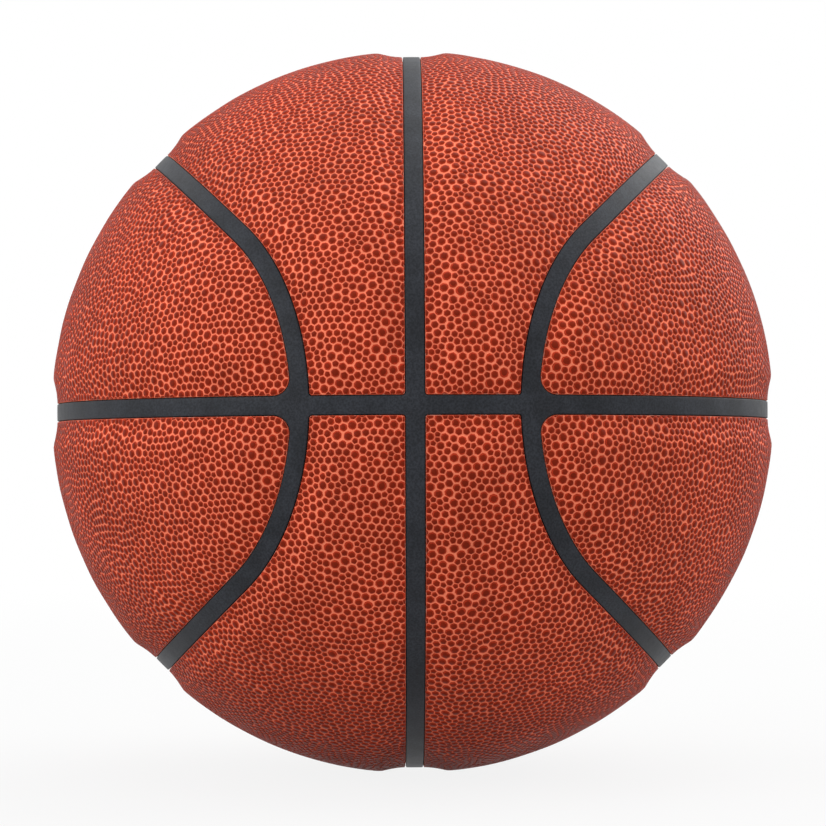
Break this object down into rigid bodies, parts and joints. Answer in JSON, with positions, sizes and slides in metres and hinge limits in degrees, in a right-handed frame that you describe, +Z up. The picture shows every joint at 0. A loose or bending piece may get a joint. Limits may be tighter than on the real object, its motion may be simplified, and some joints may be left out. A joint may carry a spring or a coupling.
{
  "type": "basketball",
  "caption": "Full-size basketball: pebbled cover panels set between the dark rubber ribs of a wound carcass, with an air bladder and a needle valve inside.",
  "frame": {"origin": "centre of the ball", "axes": "+Y runs from the front cross of ribs to the valve at the back, +Z up, +X right; the level rib lies in the plane z = 0 and the upright rib in x = 0"},
  "size_m": [0.242, 0.241, 0.242],
  "materials": {
    "cover": "pebbled composite leather, low sheen",
    "rib_rubber": "matt, fine grain",
    "valve_rubber": "matt",
    "bladder_rubber": "smooth, matt",
    "thread": "wound nylon thread",
    "foam": "closed-cell sponge backing"
  },
  "bodies": {
    "root": {"bladder": "bladder_rubber", "balance_patch": "bladder_rubber", "valve_housing": "valve_rubber", "valve_plug": "valve_rubber", "winding": "thread", "carcass": "rib_rubber", "long_pad_upper_right": "foam", "long_pad_upper_left": "foam", "long_pad_lower_right": "foam", "long_pad_lower_left": "foam", "oval_pad_upper_right": "foam", "oval_pad_upper_left": "foam", "oval_pad_lower_right": "foam", "oval_pad_lower_left": "foam", "long_panel_upper_right": "cover", "long_panel_upper_left": "cover", "long_panel_lower_right": "cover", "long_panel_lower_left": "cover", "oval_panel_upper_right": "cover", "oval_panel_upper_left": "cover", "oval_panel_lower_right": "cover", "oval_panel_lower_left": "cover"}
  },
  "joints": []
}
